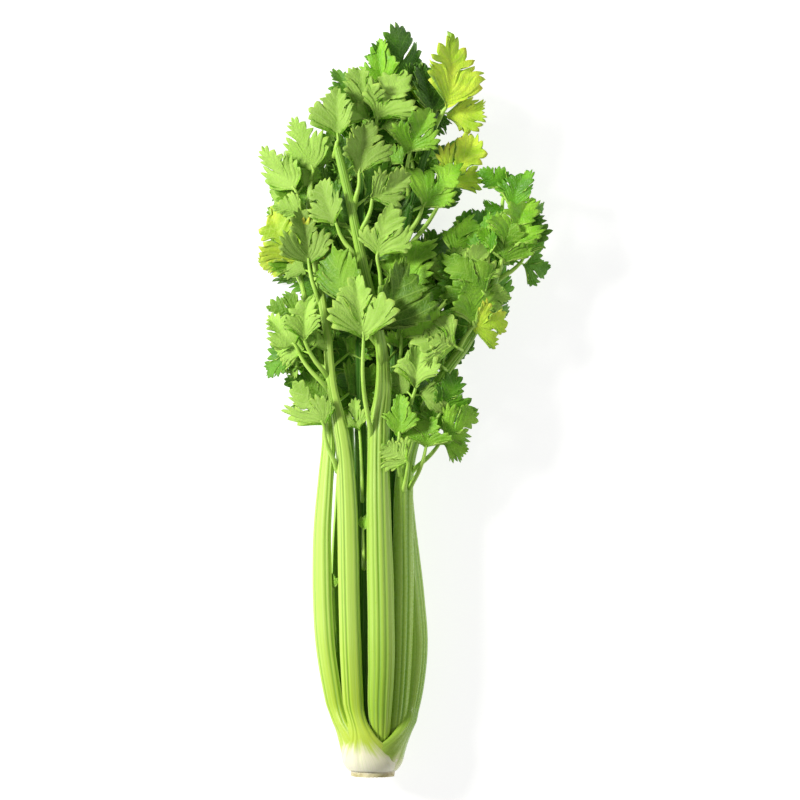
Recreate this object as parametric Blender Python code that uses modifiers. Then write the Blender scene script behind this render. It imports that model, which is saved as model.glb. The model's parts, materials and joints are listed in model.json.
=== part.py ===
"""A head of celery, lying on a flat surface as it would after it is cut.

The crown (the short cut stem) is at -Y and the leaves are at +Y, with +Z up. The stalks stand in
two rings on the crown, and every stalk carries its leaf sprays: a thin stem that widens into a
three-lobed blade. Sizes below are in millimetres and become metres in the last step of each piece.
"""
import math

import bpy
import bmesh
from mathutils import Matrix, Vector
from mathutils.bvhtree import BVHTree

# Driving dimensions, in millimetres
MILLIMETRE = 0.001
AXIS_HEIGHT = 30.0          # middle of the bundle above the surface it lies on
CROWN_LENGTH = 21.6         # cut plate to the feet of the stalks
STALK_FOOT = 22.0           # the stalks start here, a hair above the crown
PLATE_RADIUS = 15.5         # the cut face under the crown
CROWN_RADIUS = 23.0
STALK_DEPTH = 0.42          # depth of a stalk's section for each millimetre of its width
STALK_STATIONS = 15
JOINT_HEIGHT = 235.0        # where the stalks' channel closes and the first leaf stems leave
BLADE_THICKNESS = 0.9
STEM_WIDTH = 2.4
CLEARANCE = 0.45            # kept between any two pieces
LEAF_FOLD = 0.30            # how far a blade's edges rise for each millimetre from its midrib

# Half outline of a leaf blade: share of its length from the foot, share of its half width
BLADE_OUTLINE = ((0.0, 0.10), (0.12, 0.45), (0.30, 1.0), (0.44, 0.96), (0.52, 0.60), (0.68, 0.64),
                 (0.85, 0.36))

# Colours of the pieces: crown, stalks, and leaves seen from below, from above and in the shade
CREAM = (0.86, 0.83, 0.66)
STALK_LIT = (0.52, 0.74, 0.20)
STALK_DEEP = (0.28, 0.50, 0.07)
LEAF_PALE = (0.38, 0.60, 0.18)
LEAF_MID = (0.16, 0.40, 0.05)
LEAF_DARK = (0.05, 0.20, 0.02)
LEAF_YELLOW = (0.55, 0.75, 0.12)

# Each stalk: the way its outer side faces (degrees from straight up towards +X), its colour, and
# its path from the crown: across, along, height above the surface, width
STALKS = {
    "stalk_front_centre": (6, STALK_LIT, (
        (5, 22, 42, 12), (5, 55, 47, 17), (6, 90, 50, 18), (5, 140, 51, 18), (4, 190, 51, 16),
        (4, 235, 52, 14), (7, 262, 54, 11), (6, 292, 57, 8), (-1, 325, 60, 7), (-7, 350, 62, 7),
        (-13, 380, 64, 6), (-19, 407, 65, 6), (-24, 427, 65, 5))),
    "stalk_front_left": (-24, STALK_LIT, (
        (-11, 22, 41, 11), (-13, 55, 45, 15), (-15, 100, 48, 15), (-16, 150, 49, 15), (-17, 190, 49, 14),
        (-20, 230, 50, 11), (-26, 257, 50, 8), (-29, 280, 50, 7), (-31, 305, 49, 6), (-36, 335, 48, 6),
        (-42, 375, 46, 5), (-42, 405, 45, 4))),
    "stalk_left_outer": (-64, STALK_LIT, (
        (-19, 22, 31, 12), (-24, 50, 32, 18), (-30, 90, 33, 20), (-32, 130, 33, 20), (-32, 175, 33, 18),
        (-29, 220, 33, 14), (-30, 252, 34, 9), (-36, 285, 35, 7), (-44, 318, 37, 5), (-50, 345, 39, 4))),
    "stalk_right_inner": (42, STALK_DEEP, (
        (14, 22, 36, 9), (17.5, 55, 38.5, 13), (19.5, 100, 39.5, 14), (20, 150, 40, 14), (20, 195, 41, 13),
        (24, 222, 44, 11), (33, 245, 46, 9), (43, 266, 48, 8), (55, 284, 49, 7), (67, 300, 49, 6),
        (76, 322, 48, 5), (87, 348, 46, 4), (94, 376, 44, 4))),
    "stalk_right_outer": (80, STALK_DEEP, (
        (19, 22, 27, 12), (24, 50, 26, 18), (28, 85, 25, 20), (26, 125, 25, 19), (22, 165, 25, 17),
        (20, 200, 25, 14), (22, 235, 26, 10), (28, 265, 27, 7), (36, 298, 29, 6), (46, 330, 31, 5),
        (53, 352, 33, 4))),
    "stalk_back_left": (-148, STALK_DEEP, (
        (-13, 22, 18, 11), (-17, 50, 13, 16), (-20, 90, 9, 18), (-20, 140, 9, 18), (-18, 190, 8.2, 16),
        (-18, 235, 11, 11), (-22, 275, 14, 8), (-28, 315, 17, 6), (-33, 355, 20, 5), (-34, 385, 22, 4))),
    "stalk_back": (180, STALK_DEEP, (
        (-1, 22, 15, 11), (-1, 50, 11, 15), (-1, 90, 8.2, 17), (0, 140, 8.2, 17), (0, 190, 7.4, 15),
        (1, 235, 9, 11),
        (3, 285, 12, 8), (6, 335, 16, 6), (9, 385, 20, 5), (12, 430, 24, 4), (14, 462, 27, 4))),
    "stalk_back_right": (149, STALK_DEEP, (
        (12, 22, 18, 11), (15, 50, 13, 15), (18, 90, 8.6, 17), (18, 140, 8.6, 17), (17, 190, 7.8, 15),
        (20, 230, 10, 11),
        (27, 265, 12, 8), (37, 300, 14, 6), (48, 330, 16, 5), (58, 356, 18, 4))),
    "heart_stalk_left": (-15, LEAF_YELLOW, (
        (-5, 22, 31, 8), (-6, 60, 33, 11), (-7, 110, 35, 12), (-7, 170, 36, 11), (-8, 230, 37, 8),
        (-9, 290, 39, 6), (-9, 345, 42, 5), (-8, 400, 46, 5), (-5, 438, 49, 4))),
    "heart_stalk_right": (20, LEAF_YELLOW, (
        (6, 22, 32.5, 8), (7, 60, 35, 11), (9, 110, 37, 11), (11, 170, 38, 11), (11, 225, 38, 9),
        (14, 265, 40, 8), (16, 310, 42, 6), (19, 355, 44, 6), (26, 390, 46, 5), (34, 418, 48, 5),
        (42, 443, 50, 4))),
    "heart_stalk_back": (172, LEAF_YELLOW, (
        (1, 22, 25, 8), (2, 60, 24, 11), (2, 110, 23, 12), (2, 170, 23, 11), (3, 230, 24, 7), (6, 285, 27, 5),
        (9, 335, 31, 4))),
}

# Each leaf spray: its stalk, how far along the stalk it leaves, the blade's foot and tip (across,
# along, height), the blade's width, its roll about its midrib in degrees and its colour. The sprays
# on the upper side of the head come first, and the later ones find their place under them.
LEAVES = {
    # in front of the middle of the head
    "leaf_front_three_part": ("stalk_front_centre", 238, (-6, 297, 70), (-9, 344, 74), 34, 0, LEAF_PALE),
    "leaf_front_olive": ("stalk_front_centre", 288, (4, 303, 66), (26, 352, 70), 27, 12, LEAF_MID),
    "leaf_front_small": ("stalk_front_centre", 322, (3, 352, 68), (8, 386, 71), 21, -8, LEAF_PALE),
    "leaf_front_right_pointing": ("stalk_front_centre", 372, (0, 392, 70), (27, 409, 72), 25, 10, LEAF_PALE),
    "leaf_front_upper": ("stalk_front_centre", 392, (-9, 409, 70), (-2, 446, 73), 22, 5, LEAF_PALE),
    "leaf_front_end": ("stalk_front_centre", 427, (-23, 432, 67), (-29, 469, 72), 20, -12, LEAF_PALE),
    "leaf_front_left_side": ("stalk_front_centre", 358, (-24, 374, 66), (-37, 405, 66), 16, -20, LEAF_PALE),
    "leaf_front_left_mid": ("stalk_front_centre", 300, (-19, 322, 62), (-28, 364, 60), 22, -15, LEAF_MID),
    # the low right cluster, on long stems from the inner right stalk
    "leaf_low_right_round": ("stalk_right_inner", 198, (24, 214, 60), (6, 227, 66), 22, -10, LEAF_PALE),
    "leaf_low_right_up": ("stalk_right_inner", 208, (18, 232, 62), (18, 259, 66), 19, 0, LEAF_YELLOW),
    "leaf_low_right_fan": ("stalk_right_inner", 200, (36, 224, 56), (38, 246, 60), 26, 8, LEAF_MID),
    "leaf_low_right_point": ("stalk_right_inner", 212, (48, 232, 54), (73, 248, 54), 24, 15, LEAF_MID),
    "leaf_low_right_dark": ("stalk_right_inner", 240, (45, 246, 54), (60, 276, 56), 18, 25, LEAF_DARK),
    "leaf_mid_right_pale": ("stalk_right_inner", 236, (29, 264, 58), (32, 300, 63), 24, -8, LEAF_PALE),
    "leaf_mid_right_wide": ("heart_stalk_right", 268, (20, 301, 56), (55, 313, 66), 30, 6, LEAF_MID),
    # the right branch
    "leaf_branch_lower": ("stalk_right_inner", 292, (68, 306, 56), (92, 315, 55), 27, 12, LEAF_YELLOW),
    "leaf_branch_dark": ("stalk_right_inner", 312, (77, 326, 44), (98, 348, 44), 21, 20, LEAF_DARK),
    "leaf_branch_pale": ("stalk_right_inner", 306, (68, 331, 56), (72, 365, 58), 17, -12, LEAF_PALE),
    "leaf_branch_inner": ("stalk_right_inner", 330, (78, 352, 52), (74, 380, 52), 16, -25, LEAF_DARK),
    "leaf_branch_side": ("stalk_right_inner", 345, (91, 360, 52), (104, 395, 56), 21, 10, LEAF_MID),
    "leaf_branch_outer": ("stalk_right_inner", 342, (102, 352, 42), (114, 386, 40), 17, 30, LEAF_DARK),
    "leaf_branch_end": ("stalk_right_inner", 376, (96, 384, 47), (99, 413, 50), 16, 5, LEAF_DARK),
    "leaf_branch_left_pointing": ("stalk_right_inner", 372, (90, 400, 40), (74, 417, 42), 17, -10, LEAF_DARK),
    # between the right branch and the top
    "leaf_gap_pale": ("stalk_right_outer", 318, (53, 328, 46), (57, 362, 50), 18, -6, LEAF_PALE),
    "leaf_gap_wide": ("heart_stalk_right", 300, (20, 326, 52), (34, 367, 58), 29, 8, LEAF_MID),
    "leaf_gap_end": ("stalk_right_outer", 352, (55, 357, 36), (64, 385, 36), 20, 12, LEAF_MID),
    # the top
    "leaf_top_right_broad": ("heart_stalk_right", 372, (34, 387, 54), (54, 418, 58), 29, 12, LEAF_MID),
    "leaf_top_right_yellow": ("heart_stalk_right", 362, (50, 402, 42), (75, 433, 44), 21, 20, LEAF_YELLOW),
    "leaf_top_frilled": ("heart_stalk_right", 443, (50, 455, 55), (59, 502, 60), 28, 10, LEAF_YELLOW),
    "leaf_top_folded": ("heart_stalk_right", 438, (40, 449, 54), (41, 486, 56), 12, 35, LEAF_DARK),
    "leaf_top_mid": ("heart_stalk_right", 398, (25, 423, 52), (36, 457, 56), 21, 0, LEAF_MID),
    "leaf_top_shaded": ("heart_stalk_right", 410, (26, 452, 42), (34, 487, 44), 22, -10, LEAF_DARK),
    "leaf_top_veined": ("heart_stalk_left", 430, (3, 446, 58), (20, 480, 63), 25, 6, LEAF_PALE),
    "leaf_top_slim": ("heart_stalk_left", 438, (-3, 450, 54), (-7, 487, 58), 15, -10, LEAF_PALE),
    "leaf_top_left_dark": ("heart_stalk_left", 425, (-12, 462, 46), (-24, 483, 46), 17, -20, LEAF_DARK),
    "leaf_top_back": ("stalk_back", 448, (9, 470, 38), (3, 500, 42), 18, -8, LEAF_MID),
    "leaf_top_tip": ("stalk_back", 462, (17, 474, 32), (20, 513, 36), 23, 8, LEAF_DARK),
    # the left side
    "leaf_left_upper": ("stalk_front_left", 405, (-40, 412, 50), (-54, 446, 56), 26, -10, LEAF_PALE),
    "leaf_left_far": ("stalk_front_left", 386, (-52, 398, 50), (-73, 427, 52), 25, -18, LEAF_PALE),
    "leaf_left_low_pale": ("stalk_front_left", 372, (-47, 383, 52), (-66, 392, 54), 18, -12, LEAF_PALE),
    "leaf_left_narrow": ("stalk_front_left", 330, (-43, 348, 54), (-47, 386, 57), 14, -5, LEAF_PALE),
    "leaf_left_yellow": ("stalk_left_outer", 345, (-51, 350, 42), (-74, 385, 44), 24, -15, LEAF_YELLOW),
    "leaf_left_pair_outer": ("stalk_front_left", 268, (-52, 293, 56), (-72, 311, 58), 24, -14, LEAF_PALE),
    "leaf_left_pair_inner": ("stalk_front_left", 276, (-46, 297, 58), (-47, 327, 62), 20, 4, LEAF_PALE),
    "leaf_left_drooping": ("stalk_left_outer", 285, (-52, 290, 44), (-75, 272, 38), 23, 10, LEAF_DARK),
    "leaf_left_lowest": ("stalk_front_left", 216, (-33, 239, 56), (-48, 271, 60), 22, -10, LEAF_PALE),
    # under the head
    "leaf_under_left": ("stalk_back_left", 385, (-36, 392, 26), (-50, 425, 24), 26, 0, LEAF_DARK),
    "leaf_under_right": ("stalk_back_right", 356, (60, 361, 20), (76, 390, 16), 26, 0, LEAF_DARK),
}
LOWEST_LEAF = 1.5           # no midrib or edge of a blade goes lower than this
LIFT_TRIES = 12             # steps of lift and of turn that a crowded spray may take, either way
TURN_TRIES = 4
LIFT_STEP = 1.6
TURN_STEP = math.radians(4.0)


def clear_scene():
    for old in list(bpy.data.objects):
        bpy.data.objects.remove(old, do_unlink=True)


def plain_material(name, colour, roughness):
    material = bpy.data.materials.new(name)
    material.use_nodes = True
    shader = material.node_tree.nodes["Principled BSDF"]
    shader.inputs["Base Color"].default_value = (*colour, 1.0)
    shader.inputs["Roughness"].default_value = roughness
    shader.inputs["Metallic"].default_value = 0.0
    return material


def place(name, bm, colour, roughness):
    """Make a piece from a bmesh in millimetres and hang it on the head's empty."""
    bmesh.ops.scale(bm, vec=(MILLIMETRE,) * 3, verts=bm.verts)
    mesh = bpy.data.meshes.new(name)
    bm.to_mesh(mesh)
    bm.free()
    mesh.materials.append(plain_material(name, colour, roughness))
    mesh.shade_smooth()
    piece = bpy.data.objects.new(name, mesh)
    collection.objects.link(piece)
    piece.parent = head
    return piece


def curve_point(points, at):
    """A point on the smooth line through all points; at runs from 0 to the number of spans."""
    span = min(int(at), len(points) - 2)
    t = at - span
    before = points[max(span - 1, 0)]
    start, end = points[span], points[span + 1]
    after = points[min(span + 2, len(points) - 1)]
    return [0.5 * (2 * b + (c - a) * t + (2 * a - 5 * b + 4 * c - d) * t ** 2
                   + (3 * b - a - 3 * c + d) * t ** 3)
            for a, b, c, d in zip(before, start, end, after)]


def crown():
    """The short cut stem: a turned piece with a flat cut plate and a shoulder under the stalks."""
    profile = ((0.0, CROWN_LENGTH), (CROWN_RADIUS - 1.5, CROWN_LENGTH), (CROWN_RADIUS, CROWN_LENGTH - 3.0),
               (CROWN_RADIUS - 2.5, 10.0), (PLATE_RADIUS + 1.5, 3.0), (PLATE_RADIUS, 0.0), (0.0, 0.0))
    bm = bmesh.new()
    points = [bm.verts.new((radius, 0.0, height)) for radius, height in profile]
    for start, end in zip(points, points[1:]):
        bm.edges.new((start, end))
    piece = place("crown", bm, CREAM, 0.6)
    piece.location = (0.0, 0.0, AXIS_HEIGHT * MILLIMETRE)
    piece.rotation_euler = (-math.pi / 2, 0.0, 0.0)
    turn = piece.modifiers.new("turned", "SCREW")
    turn.axis = "Z"
    turn.steps = turn.render_steps = 24
    turn.use_merge_vertices = True
    turn.merge_threshold = 0.00001
    turn.use_smooth_shade = True


def stalk_section(width, height_along):
    """Closed outline across a stalk: a channel at the foot that closes to a round stem at the top."""
    depth = width * STALK_DEPTH
    closing = min(max((height_along - STALK_FOOT) / JOINT_HEIGHT, 0.0), 1.0)
    hollow = 0.34 - 1.0 * closing ** 3
    outer = [(0.5 * width * math.sin(a), depth * math.cos(a)) for a in
             (math.radians(degrees) for degrees in range(-90, 91, 30))]
    inner = [(0.42 * width * math.sin(a), hollow * depth * math.cos(a)) for a in
             (math.radians(degrees) for degrees in range(60, -61, -30))]
    return outer + inner


def stalk(name, face, colour, path):
    spans = len(path) - 1
    face = math.radians(face)
    outward = Vector((math.sin(face), 0.0, math.cos(face)))
    bm = bmesh.new()
    rings = []
    for station in range(STALK_STATIONS):
        at = spans * station / (STALK_STATIONS - 1)
        *centre, width = curve_point(path, at)
        nearby = curve_point(path, min(at + 0.05, spans)), curve_point(path, max(at - 0.05, 0.0))
        along = (Vector(nearby[0][:3]) - Vector(nearby[1][:3])).normalized()
        if station == 0:
            along = Vector((0.0, 1.0, 0.0))
        side = along.cross(outward).normalized()
        out = side.cross(along)
        rings.append([bm.verts.new(Vector(centre) + side * x + out * z)
                      for x, z in stalk_section(width, centre[1])])
    for lower, upper in zip(rings, rings[1:]):
        for i in range(len(lower)):
            j = (i + 1) % len(lower)
            bm.faces.new((lower[i], lower[j], upper[j], upper[i]))
    bm.faces.new(rings[0])
    bm.faces.new(rings[-1])
    bmesh.ops.triangulate(bm, faces=bm.faces)
    bmesh.ops.recalc_face_normals(bm, faces=bm.faces)
    trees.append(BVHTree.FromBMesh(bm))
    place(name, bm, colour, 0.4)


def spine_at(path, along):
    """The middle of a stalk and its width, where the stalk reaches a distance along the head."""
    spans = len(path) - 1
    steps = 40 * spans
    return min((curve_point(path, spans * i / steps) for i in range(steps + 1)),
               key=lambda point: abs(point[1] - along))


def leaf_rows(path, leaves_at, foot, tip, width, roll, lift, turn):
    """Rows of three points (edge, midrib, edge), up the stem and then up the blade, with the side
    that each row faces."""
    *centre, stalk_width = spine_at(path, leaves_at)
    root, foot, tip = Vector(centre), Vector(foot), Vector(tip)
    stalk_along = (root - Vector(spine_at(path, leaves_at - 6.0)[:3])).normalized()
    swing = Matrix.Rotation(turn, 3, "Z")
    foot = root + swing @ (foot - root) + Vector((0.0, 0.0, 0.7 * lift))
    tip = root + swing @ (tip - root) + Vector((0.0, 0.0, lift))
    away = foot - root
    aside = (away - stalk_along * away.dot(stalk_along)).normalized()
    if leaves_at >= path[-1][1]:
        start = root + stalk_along * (CLEARANCE + 0.8)
        bend = start.lerp(foot, 0.5)
    else:
        start = root + aside * (0.5 * stalk_width + 0.5 * STEM_WIDTH + CLEARANCE + 0.4)
        bend = start.lerp(foot, 0.5) + aside * 0.12 * away.length
    length = (tip - foot).length
    heading = (tip - foot).normalized()
    rows = []
    for t in (0.0, 0.34, 0.67):
        point = start * (1 - t) ** 2 + bend * 2 * t * (1 - t) + foot * t * t
        slope = (bend - start) * (1 - t) + (foot - bend) * t
        rows.append((point, slope.normalized(), 0.5 * STEM_WIDTH))
    for share, half in BLADE_OUTLINE:
        arch = 4.0 * share * (1.0 - share) * 0.05 * length
        point = foot + heading * share * length + Vector((0.0, 0.0, arch))
        rows.append((point, heading, max(0.5 * width * half, 0.5 * STEM_WIDTH)))
    shaped = []
    for point, along, half in rows:
        side = along.cross(Vector((0.0, 0.0, 1.0)))
        side = side.normalized() if side.length > 0.1 else Vector((1.0, 0.0, 0.0))
        up = side.cross(along)
        turned = Matrix.Rotation(math.radians(roll), 3, along)
        side, up = turned @ side, turned @ up
        rise = up * LEAF_FOLD * (half - 0.5 * STEM_WIDTH)
        shaped.append(([point - side * half + rise, point, point + side * half + rise], up))
    return shaped, tip


def leaf_faces(rows):
    """Corner numbers of a leaf's faces, for rows of three points and then the tip."""
    faces = []
    for row in range(rows - 1):
        a = 3 * row
        faces += [(a, a + 1, a + 4, a + 3), (a + 1, a + 2, a + 5, a + 4)]
    last = 3 * (rows - 1)
    return faces + [(last, last + 1, last + 3), (last + 1, last + 2, last + 3)]


def leaf_room(shaped, tip):
    """A closed shell round a leaf, thicker than the leaf by the clearance, to test for neighbours."""
    reach = 0.5 * BLADE_THICKNESS + CLEARANCE
    layers = []
    for way in (reach, -reach):
        for points, up in shaped:
            middle = points[1]
            layers += [point + up * way + (point - middle).normalized() * CLEARANCE for point in points]
        layers.append(tip + shaped[-1][1] * way)
    count = len(layers) // 2
    top = leaf_faces(len(shaped))
    faces = list(top) + [tuple(corner + count for corner in reversed(face)) for face in top]
    rim = [3 * row for row in range(len(shaped))] + [count - 1]
    rim += [3 * row + 2 for row in reversed(range(len(shaped)))]
    for a, b in zip(rim, rim[1:] + rim[:1]):
        faces.append((a, b, b + count, a + count))
    return BVHTree.FromPolygons(layers, faces)


def settle_order():
    """Lifts and turns for a crowded spray, the smallest first."""
    lifts, turns = range(-LIFT_TRIES, LIFT_TRIES + 1), range(-TURN_TRIES, TURN_TRIES + 1)
    steps = [(lift, turn) for lift in lifts for turn in turns]
    return sorted(steps, key=lambda step: abs(step[0]) + 1.5 * abs(step[1]) + (0.25 if step[0] < 0 else 0.0))


def leaf_spray(name, stalk_name, leaves_at, foot, tip, width, roll, colour):
    path = STALKS[stalk_name][2]
    for lift, turn in settle_order():
        shaped, end = leaf_rows(path, leaves_at, foot, tip, width, roll, lift * LIFT_STEP, turn * TURN_STEP)
        lowest = min(point.z for points, up in shaped for point in points)
        room = leaf_room(shaped, end)
        if lowest > LOWEST_LEAF and not any(room.overlap(tree) for tree in trees):
            break
    trees.append(room)
    bm = bmesh.new()
    corners = [bm.verts.new(point) for points, up in shaped for point in points] + [bm.verts.new(end)]
    for face in leaf_faces(len(shaped)):
        bm.faces.new([corners[corner] for corner in face])
    bmesh.ops.triangulate(bm, faces=bm.faces)
    piece = place(name, bm, colour, 0.5)
    shell = piece.modifiers.new("thickness", "SOLIDIFY")
    shell.thickness = BLADE_THICKNESS * MILLIMETRE
    shell.offset = 0.0


def stand_on_origin():
    """Move the head so that the origin is under its middle, on the surface it lies on."""
    bpy.context.view_layer.update()
    depsgraph = bpy.context.evaluated_depsgraph_get()
    corners = []
    for piece in collection.objects:
        if piece.type == "MESH":
            solid = piece.evaluated_get(depsgraph)
            corners += [solid.matrix_world @ vertex.co for vertex in solid.data.vertices]
    low = [min(corner[axis] for corner in corners) for axis in range(3)]
    high = [max(corner[axis] for corner in corners) for axis in range(3)]
    head.location = (-0.5 * (low[0] + high[0]), -0.5 * (low[1] + high[1]), -low[2])
    bpy.context.view_layer.update()


clear_scene()
collection = bpy.data.collections.new("head_of_celery")
bpy.context.scene.collection.children.link(collection)
head = bpy.data.objects.new("head_of_celery_frame", None)
collection.objects.link(head)
trees = []

crown()
for stalk_name, (face, colour, path) in STALKS.items():
    stalk(stalk_name, face, colour, path)
for leaf_name, leaf in LEAVES.items():
    leaf_spray(leaf_name, *leaf)
stand_on_origin()
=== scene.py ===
"""The looks of a head of celery lying on its back: ribbed stalks on a cut crown, and leafy tops."""

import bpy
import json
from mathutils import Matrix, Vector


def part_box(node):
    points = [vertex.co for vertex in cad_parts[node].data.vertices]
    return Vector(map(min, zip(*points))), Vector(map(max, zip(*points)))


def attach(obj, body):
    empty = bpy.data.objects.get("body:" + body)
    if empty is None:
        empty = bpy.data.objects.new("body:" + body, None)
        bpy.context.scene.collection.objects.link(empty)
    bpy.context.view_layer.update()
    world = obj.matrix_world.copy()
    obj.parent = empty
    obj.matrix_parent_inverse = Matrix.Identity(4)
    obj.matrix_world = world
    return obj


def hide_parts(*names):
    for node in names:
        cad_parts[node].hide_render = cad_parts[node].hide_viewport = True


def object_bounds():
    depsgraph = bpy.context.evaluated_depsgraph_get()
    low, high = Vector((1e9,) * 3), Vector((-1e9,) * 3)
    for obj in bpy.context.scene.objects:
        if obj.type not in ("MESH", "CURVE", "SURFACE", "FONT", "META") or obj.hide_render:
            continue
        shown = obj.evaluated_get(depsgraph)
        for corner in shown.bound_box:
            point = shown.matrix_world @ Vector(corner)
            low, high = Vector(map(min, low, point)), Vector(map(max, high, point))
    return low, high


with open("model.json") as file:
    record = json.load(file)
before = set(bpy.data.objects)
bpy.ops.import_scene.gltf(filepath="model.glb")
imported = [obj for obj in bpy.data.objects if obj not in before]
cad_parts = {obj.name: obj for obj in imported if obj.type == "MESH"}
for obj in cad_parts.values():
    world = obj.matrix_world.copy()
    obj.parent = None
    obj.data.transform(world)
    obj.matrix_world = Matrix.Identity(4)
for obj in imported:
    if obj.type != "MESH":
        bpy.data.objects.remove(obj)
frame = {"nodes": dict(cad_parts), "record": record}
cad_box = [list(corner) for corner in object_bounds()]

import json
import math
import random

import bpy
import bmesh
import numpy as np
from mathutils import Vector, kdtree, noise

# ---------------------------------------------------------------------------------------------
# The table and the camera. The head lies on a plain pale surface in soft light from the upper
# left, and the camera looks straight down on it through a long lens.

FLOOR_SIZE = 12.0
PICTURE_WIDTH = 0.544        # how much of the floor the picture spans
CAMERA_LENS = 200.0
SENSOR = 36.0
CAMERA_ASIDE = 0.0015        # how far the camera stands to the left of the head's middle
FLOOR_GAP = 0.0004

lowest, highest = Vector(cad_box[0]), Vector(cad_box[1])
middle = (lowest + highest) / 2

bpy.ops.object.select_all(action="DESELECT")
bpy.ops.mesh.primitive_plane_add(size=FLOOR_SIZE, location=(0.0, 0.0, lowest.z - FLOOR_GAP))
floor = bpy.context.object
floor.name = "floor"
floor_material = bpy.data.materials.new("pale_table")
floor_material.use_nodes = True
floor_shader = floor_material.node_tree.nodes["Principled BSDF"]
floor_shader.inputs["Base Color"].default_value = (0.42, 0.42, 0.42, 1.0)
floor_shader.inputs["Roughness"].default_value = 0.9
floor_shader.inputs["Specular IOR Level"].default_value = 0.1
floor_shader.inputs["Emission Color"].default_value = (1.0, 1.0, 1.0, 1.0)
floor_shader.inputs["Emission Strength"].default_value = 0.80
floor.data.materials.append(floor_material)

camera_data = bpy.data.cameras.new("camera")
camera_data.lens = CAMERA_LENS
camera_data.sensor_width = SENSOR
camera = bpy.data.objects.new("camera", camera_data)
bpy.context.scene.collection.objects.link(camera)
camera.location = (middle.x - CAMERA_ASIDE, middle.y, middle.z + PICTURE_WIDTH * CAMERA_LENS / SENSOR)
bpy.context.scene.camera = camera


def soft_light(name, place, size, power, colour):
    """A square soft box aimed at the middle of the head."""
    data = bpy.data.lights.new(name, "AREA")
    data.size = size
    data.energy = power
    data.color = colour
    box = bpy.data.objects.new(name, data)
    bpy.context.scene.collection.objects.link(box)
    box.location = place
    box.rotation_euler = (middle - Vector(place)).to_track_quat("-Z", "Y").to_euler()


soft_light("window_left", (-2.0, 0.7, 1.5), 0.6, 86.0, (1.0, 0.99, 0.94))
soft_light("rim_right", (1.9, 0.2, 0.9), 0.4, 8.0, (1.0, 1.0, 0.96))
world = bpy.data.worlds.new("studio")
world.use_nodes = True
world.node_tree.nodes["Background"].inputs["Color"].default_value = (1.0, 1.0, 1.0, 1.0)
world.node_tree.nodes["Background"].inputs["Strength"].default_value = 0.26
bpy.context.scene.world = world
bpy.context.scene.view_settings.view_transform = "Standard"

# ---------------------------------------------------------------------------------------------
# The stalks. Each is the thick, crisp leaf stem of celery: ribbed on its rounded outer side, with
# a channel inside, and thinning past its joint into the stem that carries the leaves. The outer
# stalks end below in broad white sheaths that wrap round the crown, one over the next.

FOOT_PLANE = 0.0001          # how flat the foot of a CAD stalk is
SPAN_STEPS = 7               # rings of mesh between two CAD rings
OUTER_POINTS = 64            # points across the ribbed side
INNER_POINTS = 16
STALK_DEPTH = 0.42           # depth of a section for each unit of its width
RIBS = 6.5
RIB_HEIGHT = 0.00065
FULL_RIB_WIDTH = 0.013       # a stalk this wide has ribs of full height
JOINT = 0.235                # above the cut face: the channel closes and the leaf stems leave
JOINT_SWELL = 0.08
JOINT_LENGTH = 0.004
SHEATH_THICKNESS = 0.0012
LAYER_STEP = 0.00035
SHEATH_HEIGHTS = (0.0040, 0.0049, 0.0065, 0.0090, 0.0120, 0.0150, 0.0180, 0.0207)
SHEATH_TOP = (0.026, 0.052)  # the wrapped sheath turns into the free stalk between these heights
SHEATH_REACH = (             # how far round the crown half a sheath reaches, in degrees, by height
    (0.004, 116), (0.009, 104), (0.013, 88), (0.0165, 72), (0.020, 57), (0.025, 39), (0.029, 30),
    (0.038, 20), (0.050, 12))
SHEATH_LAYERS = {            # how far a sheath wraps round, how many lie under it and how it flares
    "stalk_front_left": (1.0, 3, 0.06), "stalk_left_outer": (1.2, 1, 0.20),
    "stalk_right_outer": (1.5, 2, 0.30), "stalk_back_left": (0.9, 2, 0.0),
    "stalk_back_right": (0.9, 1, 0.0), "stalk_back": (1.0, 0, 0.0)}
FLARE_FROM = 0.012           # above the cut face: a flared sheath starts to leave the crown
FLARE_OVER = 0.027
WIDER = {"stalk_right_inner": 1.16, "stalk_right_outer": 1.10}   # fuller than their CAD solids
CROWN_BODY = (               # height above the cut face and radius of the crown under the sheaths
    (0.0, 0.0146), (0.0030, 0.0149), (0.0038, 0.0152), (0.006, 0.0168), (0.009, 0.0182), (0.012, 0.0191),
    (0.018, 0.0202), (0.0215, 0.0207), (0.026, 0.0212), (0.050, 0.0225))

crown_low, crown_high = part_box("crown")
cut_face = crown_low.y
axis = np.array(((crown_low.x + crown_high.x) / 2, 0.0, (crown_low.z + crown_high.z) / 2))
stalk_nodes = sorted(name for name in frame["nodes"] if "stalk" in name)


def steps_from(node, is_start):
    """The points of a CAD piece, grouped by how many edges they are from where it starts."""
    bm = bmesh.new()
    bm.from_mesh(frame["nodes"][node].data)
    bmesh.ops.remove_doubles(bm, verts=bm.verts, dist=0.000001)
    level = {vertex for vertex in bm.verts if is_start(vertex.co)}
    seen, levels = set(level), []
    while level:
        levels.append(np.array([vertex.co[:] for vertex in level]))
        level = {edge.other_vert(vertex) for vertex in level for edge in vertex.link_edges} - seen
        seen |= level
    bm.free()
    return levels


def unit(vector):
    return vector / np.linalg.norm(vector)


def smooth_between(rows, steps):
    """Rows of numbers on the smooth line through the given rows, with some steps a span."""
    rows = np.array(rows, float)
    padded = np.vstack([2 * rows[0] - rows[1], rows, 2 * rows[-1] - rows[-2]])
    out = []
    for a, b, c, d in zip(padded, padded[1:], padded[2:], padded[3:]):
        for t in np.arange(steps) / steps:
            out.append(0.5 * (2 * b + (c - a) * t + (2 * a - 5 * b + 4 * c - d) * t ** 2
                              + (3 * b - a - 3 * c + d) * t ** 3))
    return np.array(out + [rows[-1]])


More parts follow.
